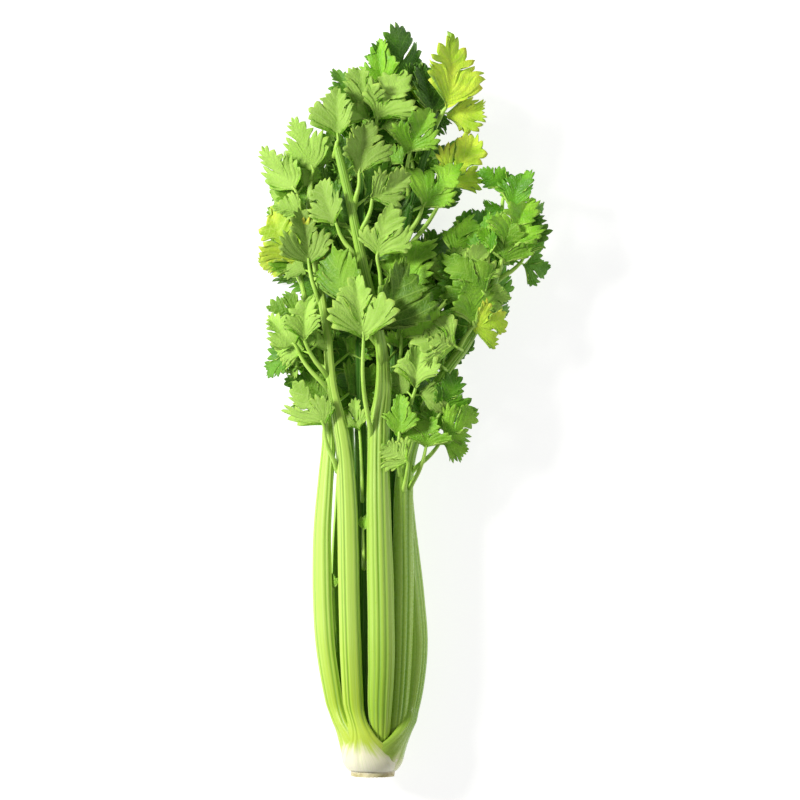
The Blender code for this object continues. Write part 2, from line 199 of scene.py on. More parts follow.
def stalk_frames(node):
    """Middle, outward direction and width of a stalk at each of its CAD rings."""
    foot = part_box(node)[0].y
    frames, before = [], None
    for ring in steps_from(node, lambda point: point.y < foot + FOOT_PLANE):
        centre = ring.mean(0)
        across, out = np.linalg.svd(ring - centre)[2][:2]
        if before is None:
            before = (centre - axis) * (1.0, 0.0, 1.0)
        out = out if out @ before > 0 else -out
        before = out
        reach = (ring - centre) @ across
        ends = ring[[reach.argmin(), reach.argmax()]]
        frames.append((*ends.mean(0), *out, reach.max() - reach.min()))
    return frames


def sheet(name, columns, rows):
    """A flat grid with this many points each way, and the column and the row of each point."""
    bpy.ops.object.select_all(action="DESELECT")
    bpy.ops.mesh.primitive_grid_add(x_subdivisions=columns - 1, y_subdivisions=rows - 1, size=1.0)
    grid = bpy.context.object
    grid.name = grid.data.name = name
    grid.data.uv_layers[0].name = "round_and_along"
    flat = np.empty(columns * rows * 3)
    grid.data.vertices.foreach_get("co", flat)
    flat = flat.reshape(-1, 3) + 0.5
    column = np.rint(flat[:, 0] * (columns - 1)).astype(int)
    return grid, column, np.rint(flat[:, 1] * (rows - 1)).astype(int)


def roll_up(grid, places):
    """Moves the grid's points to their places, joins its long edges and closes both ends."""
    grid.data.vertices.foreach_set("co", places.ravel())
    bpy.ops.object.mode_set(mode="EDIT")
    bpy.ops.mesh.select_all(action="SELECT")
    bpy.ops.mesh.remove_doubles(threshold=0.000002)
    bpy.ops.mesh.fill_holes(sides=0)
    bpy.ops.mesh.select_all(action="SELECT")
    bpy.ops.mesh.normals_make_consistent(inside=False)
    bpy.ops.object.mode_set(mode="OBJECT")
    bpy.ops.object.shade_smooth_by_angle(angle=math.radians(70))


def ribs(seed):
    """How raised the outer side is from edge to edge: uneven ribs with grooves between them."""
    angles = np.linspace(-math.pi / 2, math.pi / 2, OUTER_POINTS)
    warped = angles + 0.12 * np.sin(2 * angles + seed) + 0.07 * np.sin(5 * angles + 2.3 * seed)
    wave = 0.5 + 0.5 * np.cos(2 * RIBS * warped + seed)
    weight = 0.30 + 0.70 * np.sin(2 * angles + 1.7 * seed) ** 2
    return 1.0 - weight * (1.0 - wave ** 0.6)


def crescent(width, closing, raised):
    """Across and outward places of a free stalk's section: its ribbed arc, then its channel."""
    depth = width * STALK_DEPTH
    angles = np.linspace(-math.pi / 2, math.pi / 2, OUTER_POINTS)
    lift = RIB_HEIGHT * min(width / FULL_RIB_WIDTH, 1.0) * (raised - 0.6) * np.cos(angles) ** 0.4
    outer = np.stack([(0.5 * width + lift) * np.sin(angles), (depth + lift) * np.cos(angles) ** 0.85], 1)
    turn = np.linspace(math.radians(74), math.radians(-74), INNER_POINTS)
    hollow = 0.40 - 1.05 * closing ** 3
    inner = np.stack([0.45 * width * np.sin(turn), hollow * depth * np.cos(turn)], 1)
    return np.vstack([outer, inner])


def sheath_ring(height, centre, wrap, layer, flare, raised):
    """The ring of a sheath that wraps round the crown at a height above the cut face."""
    body = np.interp(height, *zip(*CROWN_BODY))
    half = math.radians(np.interp(height, *zip(*SHEATH_REACH))) * wrap
    share = np.linspace(-1.0, 1.0, OUTER_POINTS)
    thick = SHEATH_THICKNESS * min(height / 0.010, 1.0) ** 0.5
    reach = body + layer * LAYER_STEP * min(height / 0.008, 1.0) + thick * (1 - 0.85 * np.abs(share) ** 3)
    reach = reach + 0.6 * RIB_HEIGHT * (raised - 0.6) * min(height / 0.012, 1.0)
    share = np.concatenate([share, np.linspace(0.96, -0.96, INNER_POINTS)])
    reach = np.concatenate([reach, np.full(INNER_POINTS, body - 0.0010)])
    reach *= 1.0 + flare * min(max(height - FLARE_FROM, 0.0) / FLARE_OVER, 1.0) ** 2 * (1.0 - share ** 4)
    angle = centre + half * share
    return axis + np.stack([reach * np.sin(angle), np.full(len(reach), cut_face + height),
                            reach * np.cos(angle)], 1)


def stalk_rings(node, seed):
    """The rings of a stalk from its foot up, and how raised each point of a ring is."""
    raised = ribs(seed)
    stations = smooth_between(stalk_frames(node), SPAN_STEPS)
    rings = []
    for k, row in enumerate(stations):
        place, out, width = row[:3], unit(row[3:6]), row[6]
        height = place[1] - cut_face
        along = unit(stations[min(k + 1, len(stations) - 1), :3] - stations[max(k - 1, 0), :3])
        out = unit(out - along * (out @ along))
        across = np.cross(along, out)
        swell = WIDER.get(node, 1.0) + JOINT_SWELL * math.exp(-((height - JOINT) / JOINT_LENGTH) ** 2)
        swell += 0.02 * noise.noise(Vector((seed, height * 40, 0.0)))
        outline = crescent(width * swell, min(max(height / JOINT, 0.0), 1.0), raised)
        ring = place + outline[:, :1] * across + outline[:, 1:] * out
        if node in SHEATH_LAYERS:
            free = min(max((height - SHEATH_TOP[0]) / (SHEATH_TOP[1] - SHEATH_TOP[0]), 0.0), 1.0)
            free = free * free * (3 - 2 * free)
            wrapped = sheath_ring(height, math.atan2(out[0], out[2]), *SHEATH_LAYERS[node], raised)
            ring = wrapped + (ring - wrapped) * free
        rings.append(ring)
    foot = stations[0]
    if node in SHEATH_LAYERS:
        below = [sheath_ring(height, math.atan2(foot[3], foot[5]), *SHEATH_LAYERS[node], raised)
                 for height in SHEATH_HEIGHTS]
    else:
        below = [axis * (1, 0, 1) + (rings[0] - axis) * (near, 1.0, near) - (0.0, down, 0.0)
                 for near, down in ((0.86, 0.010), (0.93, 0.005))]
    rings = np.array(below + rings)
    rings[..., 2] = np.maximum(rings[..., 2], lowest.z)
    return rings, np.concatenate([raised, np.full(INNER_POINTS, 0.5)])


def new_group(name, ins, outs):
    """An empty shader node group with named sockets, and its input and output nodes."""
    group = bpy.data.node_groups.new(name, "ShaderNodeTree")
    for socket, kind, value in ins:
        group.interface.new_socket(socket, in_out="INPUT", socket_type=kind).default_value = value
    for socket, kind in outs:
        group.interface.new_socket(socket, in_out="OUTPUT", socket_type=kind)
    return group, group.nodes.new("NodeGroupInput"), group.nodes.new("NodeGroupOutput")


def add_node(tree, kind, inputs=(), **settings):
    """A node with its settings made and its inputs linked or set."""
    node = tree.nodes.new(kind)
    for name, value in settings.items():
        setattr(node, name, value)
    for socket, value in dict(inputs).items():
        if isinstance(value, bpy.types.NodeSocket):
            tree.links.new(value, node.inputs[socket])
        else:
            node.inputs[socket].default_value = value
    return node


def maths(tree, operation, a, b):
    return add_node(tree, "ShaderNodeMath", {0: a, 1: b}, operation=operation).outputs[0]


def mix_colour(tree, factor, a, b, blend="MIX"):
    a, b = ((*value, 1.0) if isinstance(value, tuple) else value for value in (a, b))
    mix = add_node(tree, "ShaderNodeMix", data_type="RGBA", blend_type=blend)
    for socket, value in ((0, factor), (6, a), (7, b)):
        if isinstance(value, bpy.types.NodeSocket):
            tree.links.new(value, mix.inputs[socket])
        else:
            mix.inputs[socket].default_value = value
    return mix.outputs[2]


def remap(tree, value, low, high, to_low=0.0, to_high=1.0, shape="SMOOTHSTEP"):
    return add_node(tree, "ShaderNodeMapRange", {
        "Value": value, "From Min": low, "From Max": high, "To Min": to_low, "To Max": to_high},
        interpolation_type=shape).outputs["Result"]


def fibre_group():
    """Fine threads along a stalk, from its own map, with broader streaks and faint speckles."""
    group, start, end = new_group("stalk_fibres", (("Threads", "NodeSocketFloat", 150.0),), (
        ("Thread", "NodeSocketFloat"), ("Streak", "NodeSocketFloat"), ("Speckle", "NodeSocketFloat")))
    where = add_node(group, "ShaderNodeUVMap", uv_map="round_and_along")
    apart = add_node(group, "ShaderNodeSeparateXYZ", {"Vector": where.outputs["UV"]})
    for name, across, along, detail in (("Thread", start.outputs["Threads"], 9.0, 2.0),
                                        ("Streak", 34.0, 3.5, 3.0)):
        place = add_node(group, "ShaderNodeCombineXYZ", {
            "X": maths(group, "MULTIPLY", apart.outputs["X"], across),
            "Y": maths(group, "MULTIPLY", apart.outputs["Y"], along)})
        lines = add_node(group, "ShaderNodeTexNoise", {"Vector": place.outputs[0], "Scale": 1.0,
                                                       "Detail": detail})
        group.links.new(lines.outputs[0], end.inputs[name])
    place = add_node(group, "ShaderNodeTexCoord")
    speckle = add_node(group, "ShaderNodeTexNoise", {"Vector": place.outputs["Object"], "Scale": 420.0,
                                                     "Detail": 4.0, "Roughness": 0.7})
    group.links.new(speckle.outputs[0], end.inputs["Speckle"])
    return group


fibres = fibre_group()

# The pale colours are partly the stalks' own and partly painted light for the stalks on the window side;
# the deep ones are partly their own and partly painted shade for the stalks away from it.
STALK_COLOURS = (   # height above the cut face, and a pale, a green and a deep stalk's colours there
    (0.000, (0.86, 0.82, 0.66), (0.84, 0.80, 0.62), (0.81, 0.77, 0.56)),
    (0.0165, (0.86, 0.83, 0.60), (0.80, 0.78, 0.50), (0.70, 0.72, 0.35)),
    (0.024, (0.50, 0.64, 0.06), (0.40, 0.57, 0.06), (0.36, 0.52, 0.07)),
    (0.048, (0.41, 0.58, 0.035), (0.33, 0.53, 0.04), (0.28, 0.48, 0.04)),
    (0.110, (0.48, 0.68, 0.11), (0.43, 0.65, 0.09), (0.40, 0.63, 0.08)),
    (0.235, (0.45, 0.67, 0.10), (0.41, 0.64, 0.085), (0.34, 0.58, 0.065)),
    (0.420, (0.40, 0.64, 0.08), (0.32, 0.58, 0.06), (0.24, 0.48, 0.05)))


def stalk_material(name, tone_and_light, rough, gloss=0.40, shade=(1.0, 1.0, 1.0)):
    """Crisp, moist skin: paler on the ribs, darker between them, where the grooves hold painted shade,
    with fibres and a soft gloss; shade multiplies every colour as painted shade.
    """
    material = bpy.data.materials.new(name)
    material.use_nodes = True
    tree = material.node_tree
    shader = tree.nodes["Principled BSDF"]
    place = add_node(tree, "ShaderNodeTexCoord").outputs["Object"]
    wander = add_node(tree, "ShaderNodeTexNoise",
                      {"Vector": place, "Scale": 55.0, "Detail": 3.0}).outputs[0]
    rise = add_node(tree, "ShaderNodeAttribute", attribute_name="rise").outputs["Fac"]
    pattern = add_node(tree, "ShaderNodeGroup", node_tree=fibres)
    uneven = maths(tree, "ADD", wander, pattern.outputs["Streak"])
    height = maths(tree, "ADD", rise, maths(tree, "MULTIPLY", maths(tree, "SUBTRACT", uneven, 1.0), 0.016))
    length = STALK_COLOURS[-1][0]
    ramp = add_node(tree, "ShaderNodeValToRGB", {0: remap(tree, height, 0.0, length, shape="LINEAR")})
    stops = ramp.color_ramp.elements
    while len(stops) < len(STALK_COLOURS):
        stops.new(0.5)
    for stop, (at, *colours) in zip(stops, STALK_COLOURS):
        stop.position = at / length
        stop.color = (*np.multiply(shade, colours[tone_and_light]), 1.0)
    raised = add_node(tree, "ShaderNodeAttribute", attribute_name="raised").outputs["Fac"]
    # painted shade: the colour is darkened in the grooves between the ribs
    deep = mix_colour(tree, 1.0, ramp.outputs[0], (0.55, 0.74, 0.34), "MULTIPLY")
    green = remap(tree, height, 0.020, 0.045)
    groove_shade = maths(tree, "MULTIPLY", remap(tree, raised, 0.85, 0.35, 0.0, 0.9), green)
    colour = mix_colour(tree, groove_shade, ramp.outputs[0], deep)
    streak = maths(tree, "MULTIPLY", remap(tree, pattern.outputs["Streak"], 0.45, 0.68, 0.0, 0.30), green)
    colour = mix_colour(tree, streak, colour, (0.66, 0.80, 0.30))
    thread = remap(tree, pattern.outputs["Thread"], 0.40, 0.70, 0.0, 0.30)
    colour = mix_colour(tree, thread, colour, mix_colour(tree, 1.0, colour, (0.62, 0.80, 0.5), "MULTIPLY"))
    tree.links.new(colour, shader.inputs["Base Color"])
    tree.links.new(remap(tree, pattern.outputs["Speckle"], 0.3, 0.7, rough, rough + 0.16),
                   shader.inputs["Roughness"])
    shader.inputs["Specular IOR Level"].default_value = gloss
    shader.inputs["Subsurface Weight"].default_value = 0.08
    shader.inputs["Subsurface Radius"].default_value = (0.003, 0.004, 0.001)
    shader.inputs["Subsurface Scale"].default_value = 1.0
    speckle = maths(tree, "MULTIPLY", pattern.outputs["Speckle"], 0.6)
    relief = maths(tree, "ADD", pattern.outputs["Thread"], speckle)
    bump = add_node(tree, "ShaderNodeBump", {"Height": relief, "Strength": 0.35, "Distance": 0.00025})
    tree.links.new(bump.outputs[0], shader.inputs["Normal"])
    return material


# Lit and shaded copies of one skin: pale on the window side is partly painted light, deep away from it
# partly painted shade, green between them.
STALK_FINISH = {
    "pale": stalk_material("stalk_skin_pale_and_lit", 0, 0.34),
    "green": stalk_material("stalk_skin_green", 1, 0.26),
    "deep": stalk_material("stalk_skin_deep_and_shaded", 2, 0.20),
    # painted shade: the heart stalks, seen only deep in the gap between the others, are darkened in every
    # colour
    "heart": stalk_material("stalk_skin_heart_painted_shade", 2, 0.45, gloss=0.12, shade=(0.13, 0.30, 0.10))}
STALK_TONES_AND_LIGHT = {
    "stalk_left_outer": "pale", "stalk_front_left": "pale", "stalk_front_centre": "green",
    "stalk_back_left": "green", "heart_stalk_left": "heart", "heart_stalk_right": "heart",
    "heart_stalk_back": "heart"}
WHITE_TO = {                 # how much further up than on the others a stalk's white foot reaches
    "stalk_right_outer": -0.007, "stalk_left_outer": -0.002, "stalk_front_left": -0.001}

stalk_points = {}
for number, node in enumerate(stalk_nodes):
    rings, raised = stalk_rings(node, number * 1.9 + 0.7)
    stalk_points[node] = rings
    rows, count = rings.shape[:2]
    stalk, column, row = sheet(node + "_ribbed", count + 1, rows)
    column = column % count
    for name, values in (("raised", raised[column]),
                         ("rise", rings[row, column, 1] - cut_face - WHITE_TO.get(node, 0.0))):
        attribute = stalk.data.attributes.new(name, "FLOAT", "POINT")
        attribute.data.foreach_set("value", values.astype(np.float32))
    roll_up(stalk, rings[row, column])
    stalk.data.materials.append(STALK_FINISH[STALK_TONES_AND_LIGHT.get(node, "deep")])
    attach(stalk, "root")
    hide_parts(node)

# ---------------------------------------------------------------------------------------------
# The crown. It is the short white stem that the stalks wrap round, sliced flat below. Its cut face
# is a little browned and rough, with faint rings where the stalks' feet were cut through.

CROWN_SIDES = 120
CUT_RINGS = (0.03, 0.2, 0.4, 0.6, 0.8, 0.93)   # shares of the cut face's radius
ROUGH_CUT = 0.0013           # how deep the cut face's roughness is
ROUGH_UP_TO = 0.006          # above the cut face: the crown's side is smooth from here
COVERED_PROFILE = 8          # how many rows of CROWN_BODY the crown's own solid follows

profile = [(0.0, share * CROWN_BODY[0][1]) for share in CUT_RINGS]
profile += [(height, radius) for height, radius in smooth_between(CROWN_BODY[:COVERED_PROFILE], 3)]
profile.append((profile[-1][0], 0.002))
angles = 2 * math.pi * np.arange(CROWN_SIDES) / CROWN_SIDES
places = np.empty((len(profile), CROWN_SIDES, 3))
for row, (height, radius) in enumerate(profile):
    for side, angle in enumerate(angles):
        direction = Vector((math.sin(angle), 0.0, math.cos(angle)))
        near_cut = max(1.0 - height / ROUGH_UP_TO, 0.0)
        fine = noise.noise(direction * radius * 900 + Vector((0, height * 700, 0)))
        broad = noise.noise(direction * 2.4 + Vector((0, height * 60, 0)))
        reach = radius + near_cut * radius / 0.015 * 0.0006 * fine + 0.0004 * broad
        up = height + ROUGH_CUT * near_cut * abs(fine) * (0.4 + 0.6 * (radius < 0.0145))
        places[row, side] = axis + np.array(direction) * reach + (0.0, cut_face + up, 0.0)
crown, column, row = sheet("crown_cut_stem", CROWN_SIDES + 1, len(profile))
roll_up(crown, places[row, column % CROWN_SIDES])

crown_material = bpy.data.materials.new("crown_flesh")
crown_material.use_nodes = True
tree = crown_material.node_tree
shader = tree.nodes["Principled BSDF"]
place = add_node(tree, "ShaderNodeTexCoord").outputs["Object"]
blotch = add_node(tree, "ShaderNodeTexNoise", {"Vector": place, "Scale": 190.0, "Detail": 6.0,
                                               "Roughness": 0.65}).outputs[0]
height = add_node(tree, "ShaderNodeSeparateXYZ", {"Vector": place}).outputs["Y"]
near_cut = remap(tree, height, cut_face + 0.0052, cut_face + 0.0010)
brown = remap(tree, blotch, 0.38, 0.66)
flesh = mix_colour(tree, brown, (0.84, 0.80, 0.64), (0.78, 0.72, 0.50))
dried = mix_colour(tree, brown, (0.66, 0.60, 0.36), (0.36, 0.27, 0.11))
centred = add_node(tree, "ShaderNodeVectorMath", {0: place, 1: (-axis[0], -cut_face, -axis[2])},
                   operation="ADD").outputs[0]
distance = add_node(tree, "ShaderNodeVectorMath", {0: centred}, operation="LENGTH").outputs["Value"]
ripple = maths(tree, "SINE", maths(tree, "ADD", maths(tree, "MULTIPLY", distance, 2600.0),
                                   maths(tree, "MULTIPLY", blotch, 14.0)), 0.0)
dried = mix_colour(tree, remap(tree, ripple, 0.5, 1.0, 0.0, 0.45), dried, (0.52, 0.50, 0.22))
tree.links.new(mix_colour(tree, near_cut, flesh, dried), shader.inputs["Base Color"])
shader.inputs["Roughness"].default_value = 0.62
shader.inputs["Subsurface Weight"].default_value = 0.12
shader.inputs["Subsurface Radius"].default_value = (0.005, 0.004, 0.002)
shader.inputs["Subsurface Scale"].default_value = 1.0
grain = add_node(tree, "ShaderNodeTexNoise", {"Vector": place, "Scale": 900.0, "Detail": 5.0})
bump = add_node(tree, "ShaderNodeBump", {"Height": grain.outputs[0], "Strength": 0.6, "Distance": 0.0005})
tree.links.new(bump.outputs[0], shader.inputs["Normal"])
crown.data.materials.append(crown_material)
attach(crown, "root")
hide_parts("crown")

# ---------------------------------------------------------------------------------------------
# The leaves. Every spray is a thin stem that grows out of a stalk and bears a toothed end leaflet;
# most longer ones also bear two smaller leaflets at the sides. A leaflet is a thin lobed blade whose
# veins fan out from its foot. It is pale and matt below, darker and glossier above, never quite flat.

# Half of a leaflet's edge, from its foot to its tip: across and along, for a leaflet one long, then
# where the vein to that point leaves the midrib, and 1 where a vein ends in a tooth.
RHOMBIC_EDGE = (
    (0.010, 0.000, 0.00, 0), (0.090, 0.110, 0.00, 0), (0.200, 0.215, 0.01, 0), (0.300, 0.270, 0.02, 0),
    (0.430, 0.310, 0.03, 1), (0.375, 0.375, 0.04, 0), (0.520, 0.455, 0.06, 1), (0.400, 0.480, 0.08, 0),
    (0.480, 0.610, 0.11, 1), (0.345, 0.570, 0.14, 0), (0.350, 0.700, 0.18, 1), (0.250, 0.600, 0.22, 0),
    (0.175, 0.520, 0.28, 0), (0.215, 0.640, 0.36, 0), (0.330, 0.770, 0.42, 1), (0.215, 0.750, 0.48, 0),
    (0.240, 0.885, 0.56, 1), (0.130, 0.840, 0.64, 0), (0.115, 0.960, 0.72, 1), (0.045, 0.915, 0.82, 0),
    (0.000, 1.000, 1.00, 1))
THREE_PART_EDGE = (
    (0.010, 0.000, 0.00, 0), (0.080, 0.100, 0.00, 0), (0.190, 0.180, 0.01, 0), (0.330, 0.215, 0.02, 0),
    (0.470, 0.235, 0.03, 1), (0.425, 0.300, 0.04, 0), (0.590, 0.370, 0.05, 1), (0.480, 0.405, 0.06, 0),
    (0.600, 0.520, 0.08, 1), (0.455, 0.490, 0.10, 0), (0.470, 0.625, 0.12, 1), (0.345, 0.535, 0.15, 0),
    (0.300, 0.620, 0.17, 1), (0.180, 0.430, 0.20, 0), (0.085, 0.330, 0.24, 0), (0.120, 0.460, 0.30, 0),
    (0.205, 0.570, 0.34, 0), (0.330, 0.670, 0.40, 1), (0.250, 0.690, 0.48, 0), (0.310, 0.815, 0.54, 1),
    (0.190, 0.800, 0.62, 0), (0.180, 0.935, 0.72, 1), (0.075, 0.890, 0.82, 0), (0.000, 1.000, 1.00, 1))
EDGE_STEPS = 3               # points between two of the edge's corners
BULGE = 0.11                 # how far an edge bows out between its corners
INWARD_STEPS = 6             # points from the midrib to the edge
LEAF_THICKNESS = 0.00034
LEAF_CEILING = highest.z + 0.007
UNEVEN = 0.17                # how far a leaflet strays from the regular outline
CRUMPLE = 0.0016             # how far its points move at random, in waves of this many a metre
CRUMPLE_WAVES = 45
FULLER = 1.15                # a leaflet's width, from its CAD blade's
LEAST_WIDTH = 0.86           # and from its length
NOISE_SEED = 1               # without it the noise below starts from the clock

noise.seed_set(NOISE_SEED)


def flat_leaflet(name, corners):
    """A flat leaflet shaped from a grid, whose rows run from the midrib out to the toothed edge."""
    edge = []
    for (x0, y0, m0, v0), (x1, y1, m1, _) in zip(corners, corners[1:]):
        for step in range(EDGE_STEPS):
            t = step / EDGE_STEPS
            bow = BULGE * math.sin(math.pi * t)
            edge.append((x0 + (x1 - x0) * t + (y1 - y0) * bow, y0 + (y1 - y0) * t - (x1 - x0) * bow,
                         m0 + (m1 - m0) * t, 0 if step else v0))
    edge = np.array(edge + [corners[-1]])
    count = 2 * len(edge) - 1
    leaflet, column, row = sheet(name, INWARD_STEPS + 1, count)
    out = column / INWARD_STEPS
    index = np.where(row < len(edge), row, count - 1 - row)
    hand = np.where(row < len(edge), 1.0, -1.0)
    x, y, root, vein = edge[index].T
    place = np.stack([hand * x * out, root + (y - root) * out, np.zeros(len(out))], 1)
    mesh = leaflet.data
    mesh.vertices.foreach_set("co", place.ravel())
    for name, values in (("vein", vein), ("outward", out), ("round", row / count)):
        mesh.attributes.new(name, "FLOAT", "POINT").data.foreach_set("value", values.astype(np.float32))
    mesh.attributes.new("tone_and_light", "FLOAT", "POINT")
    bpy.ops.object.mode_set(mode="EDIT")
    bpy.ops.mesh.select_all(action="SELECT")
    bpy.ops.mesh.remove_doubles(threshold=0.00002)
    bpy.ops.mesh.normals_make_consistent(inside=False)
    bpy.ops.object.mode_set(mode="OBJECT")
    if mesh.polygons[0].normal.z < 0:
        mesh.flip_normals()
    mesh.shade_smooth()
    return leaflet


def leaf_pattern_group():
    """What every leaflet's finish shares: its veins, the net between them, blotches and its edge."""
    group, start, end = new_group("leaf_pattern", (("Net Scale", "NodeSocketFloat", 420.0),), (
        ("Vein", "NodeSocketFloat"), ("Net", "NodeSocketFloat"), ("Blotch", "NodeSocketFloat"),
        ("Edge", "NodeSocketFloat"), ("Height", "NodeSocketFloat")))
    place = add_node(group, "ShaderNodeTexCoord").outputs["Object"]
    vein = add_node(group, "ShaderNodeAttribute", attribute_name="vein").outputs["Fac"]
    outward = add_node(group, "ShaderNodeAttribute", attribute_name="outward").outputs["Fac"]
    net = add_node(group, "ShaderNodeTexVoronoi", {"Vector": place, "Scale": start.outputs["Net Scale"]},
                   feature="DISTANCE_TO_EDGE")
    blotch = add_node(group, "ShaderNodeTexNoise", {"Vector": place, "Scale": 70.0, "Detail": 4.0})
    thin = remap(group, net.outputs[0], 0.16, 0.0)
    line = remap(group, vein, 0.45, 1.0)
    for name, socket in (("Vein", line), ("Net", thin), ("Blotch", blotch.outputs[0]),
                         ("Edge", remap(group, outward, 0.84, 1.0)),
                         ("Height", maths(group, "MAXIMUM", line, thin))):
        group.links.new(socket, end.inputs[name])
    return group


leaf_pattern = leaf_pattern_group()


def leaf_material(name, base, second, vein, edge, rough, gloss, relief):
    """A leaf's face: two greens in soft blotches, paler veins and net, and a tinted edge."""
    material = bpy.data.materials.new(name)
    material.use_nodes = True
    tree = material.node_tree
    shader = tree.nodes["Principled BSDF"]
    pattern = add_node(tree, "ShaderNodeGroup", node_tree=leaf_pattern)
    tone_and_light = add_node(tree, "ShaderNodeAttribute", attribute_name="tone_and_light").outputs["Fac"]
    blotch = remap(tree, pattern.outputs["Blotch"], 0.36, 0.66)
    # the leaflet's tone value scales its colour: partly its own random tone, partly painted light on the
    # side away from the window and painted shade on the inner leaves
    light = remap(tree, tone_and_light, 0.0, 1.0, 0.45, 1.75, "LINEAR")
    bright = add_node(tree, "ShaderNodeCombineColor", {0: light, 1: light, 2: light}).outputs[0]
    colour = mix_colour(tree, 1.0, mix_colour(tree, blotch, base, second), bright, "MULTIPLY")
    colour = mix_colour(tree, maths(tree, "MULTIPLY", pattern.outputs["Net"], 0.20), colour, vein)
    colour = mix_colour(tree, maths(tree, "MULTIPLY", pattern.outputs["Vein"], 0.45), colour, vein)
    colour = mix_colour(tree, maths(tree, "MULTIPLY", pattern.outputs["Edge"], blotch), colour, edge)
    tree.links.new(colour, shader.inputs["Base Color"])
    tree.links.new(remap(tree, pattern.outputs["Blotch"], 0.3, 0.7, rough, rough + 0.14),
                   shader.inputs["Roughness"])
    shader.inputs["Specular IOR Level"].default_value = gloss
    shader.inputs["Subsurface Weight"].default_value = 0.08
    shader.inputs["Subsurface Radius"].default_value = (0.0010, 0.0016, 0.0004)
    shader.inputs["Subsurface Scale"].default_value = 1.0
    bump = add_node(tree, "ShaderNodeBump", {"Height": pattern.outputs["Height"], "Strength": relief,
                                             "Distance": 0.00025})
    tree.links.new(bump.outputs[0], shader.inputs["Normal"])
    return material


LEAF_FINISH = {
    "pale": leaf_material("leaf_underside_pale", (0.23, 0.40, 0.055), (0.30, 0.49, 0.085),
                          (0.44, 0.62, 0.18), (0.39, 0.57, 0.09), 0.60, 0.20, 0.5),
    "mid": leaf_material("leaf_upper_green", (0.115, 0.30, 0.010), (0.21, 0.43, 0.026),
                         (0.34, 0.56, 0.09), (0.28, 0.50, 0.05), 0.44, 0.32, 0.6),
    "dark": leaf_material("leaf_upper_dark", (0.045, 0.155, 0.004), (0.100, 0.270, 0.010),
                          (0.20, 0.41, 0.05), (0.16, 0.36, 0.03), 0.40, 0.30, 0.6),
    "yellow": leaf_material("leaf_young_yellow", (0.30, 0.50, 0.025), (0.50, 0.66, 0.05),
                            (0.62, 0.76, 0.15), (0.66, 0.66, 0.07), 0.50, 0.25, 0.5),
    "stem": leaf_material("leaf_stem", (0.33, 0.57, 0.07), (0.43, 0.67, 0.11),
                          (0.48, 0.70, 0.18), (0.42, 0.64, 0.12), 0.38, 0.36, 0.2)}
SLOT_FINISH = {   # what faces up and what faces down on a spray, by the record's slot
    "leaf_pale_underside": ("pale", "mid"), "leaf_green": ("mid", "pale"), "leaf_dark": ("dark", "pale"),
    "leaf_yellow_green": ("yellow", "pale")}

masters = []
for name, corners in (("rhombic_leaflet", RHOMBIC_EDGE), ("three_part_leaflet", THREE_PART_EDGE)):
    master = flat_leaflet(name, corners)
    lists = [np.array([vertex.co[:] for vertex in master.data.vertices])]
    for attribute in ("vein", "outward", "round"):
        lists.append(np.array([item.value for item in master.data.attributes[attribute].data]))
    masters.append((master, *lists))


def lay_leaflet(foot, heading, up, length, width, chance, tone_and_light, three_part=0.3):
    """A copy of a flat leaflet, laid along its heading and bent. The last value is how often it is
    the three-part one."""
    master, place, vein, outward, turn = masters[1 if chance.random() < three_part else 0]
    leaflet = master.copy()
    leaflet.data = master.data.copy()
    bpy.context.scene.collection.objects.link(leaflet)
    fold = chance.uniform(-0.10, 0.55)
    arch = chance.uniform(-0.04, 0.12)
    droop = chance.uniform(-0.14, 0.30)
    twist = chance.uniform(-0.8, 0.8)
    sway = chance.uniform(-0.18, 0.18)
    ruffle = chance.uniform(0.010, 0.042)
    pleat = chance.uniform(0.0015, 0.0050)
    lean = chance.uniform(-0.22, 0.22)
    phase = chance.uniform(0.0, 6.28)
    waves = chance.choice((4, 6, 7))
    drift = np.array([noise.noise_vector(Vector((2.6 * x, 2.6 * y, phase * 5)))[:2] for x, y, _ in place])
    across = place[:, 0] * (1.0 + lean * np.sign(place[:, 0])) + UNEVEN * drift[:, 0] * outward
    y = place[:, 1] + UNEVEN * drift[:, 1] * np.minimum(2 * place[:, 1], 1.0)
    z = fold * np.abs(across) - 0.6 * fold * across ** 2 + 4 * arch * y * (1 - y) - droop * y ** 2
    z = z + ruffle * outward ** 3 * np.sin(2 * math.pi * waves * turn + phase)
    z = z + pleat * outward * (1 - outward) * 4 * np.cos(2 * math.pi * 20 * turn)
    z = z - 0.005 * vein * (1 - outward)
    cos, sin = np.cos(twist * y), np.sin(twist * y)
    side = np.cross(heading, up)
    points = (foot + np.outer(y * length, heading)
              + np.outer(across * cos * width - z * sin * length + sway * y ** 2 * length, side)
              + np.outer(z * cos * length + across * sin * width, up))
    shift = Vector((phase * 10, 0, 0))
    crumpled = [noise.noise_vector(Vector(point) * CRUMPLE_WAVES + shift)[:] for point in points]
    points += np.array(crumpled) * CRUMPLE
    points[:, 2] -= max(points[:, 2].max() - LEAF_CEILING, 0.0) * np.clip(2.5 * y, 0.0, 1.0)
    leaflet.data.vertices.foreach_set("co", points.ravel())
    leaflet.data.attributes["tone_and_light"].data.foreach_set("value", np.full(len(points), tone_and_light, np.float32))
    leaflet.data.update()
    return leaflet, points


